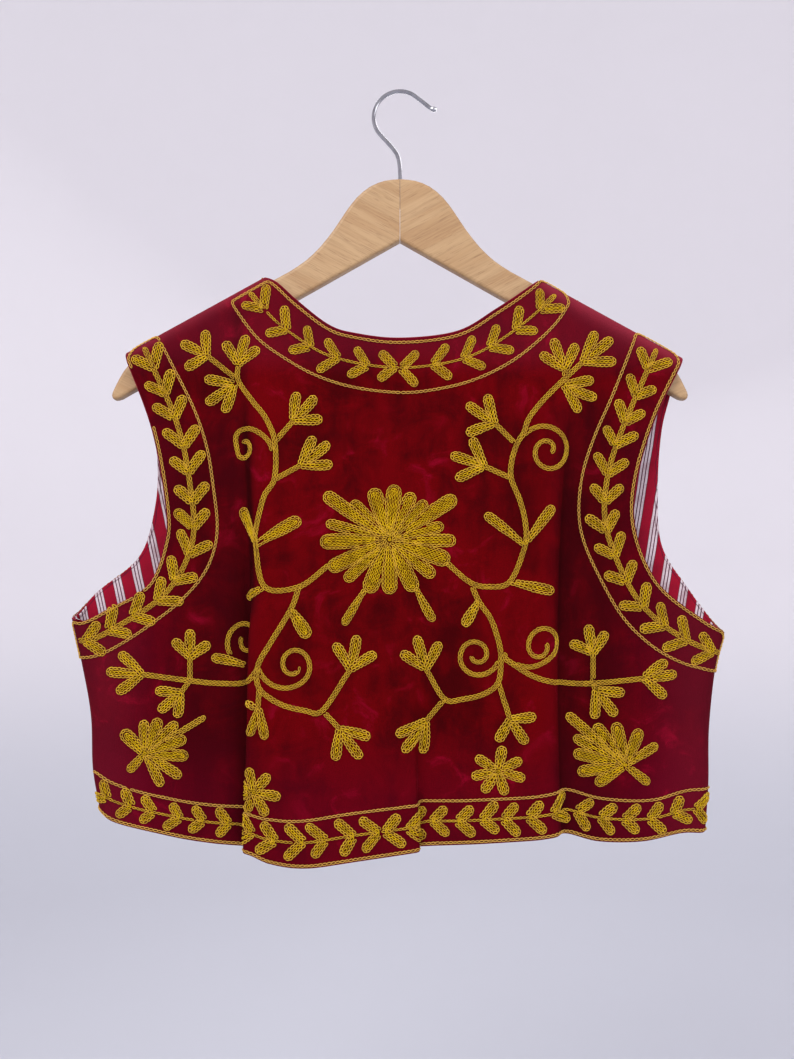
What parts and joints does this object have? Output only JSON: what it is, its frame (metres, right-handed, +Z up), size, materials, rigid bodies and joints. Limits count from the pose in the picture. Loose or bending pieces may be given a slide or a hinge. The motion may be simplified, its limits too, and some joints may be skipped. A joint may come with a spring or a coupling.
{
  "type": "embroidered velvet vest on a wooden coat hanger",
  "caption": "Sleeveless cropped velvet vest with chain-stitch flowers and leaf borders, hung flat on a curved wooden coat hanger with a wire hook.",
  "frame": {"origin": "point inside the top of the hanger's wire hook, where a peg or rail carries it", "axes": "+Z up along the hanger's stem, +X across the shoulders with the vest's right as seen from behind it, +Y from the embroidered back towards the open front"},
  "size_m": [0.511, 0.0429, 0.6048],
  "materials": {
    "red_velvet": "cut pile, crushed in places",
    "striped_cotton": "plain weave, striped",
    "beech_wood": "clear satin varnish",
    "chrome_wire": "polished"
  },
  "bodies": {
    "root": {"back_panel": "red_velvet", "front_left": "red_velvet", "front_right": "red_velvet", "lining_back": "striped_cotton", "lining_front_left": "striped_cotton", "lining_front_right": "striped_cotton", "hanger_arm_left": "beech_wood", "hanger_arm_right": "beech_wood", "hanger_hook": "chrome_wire"}
  },
  "joints": []
}
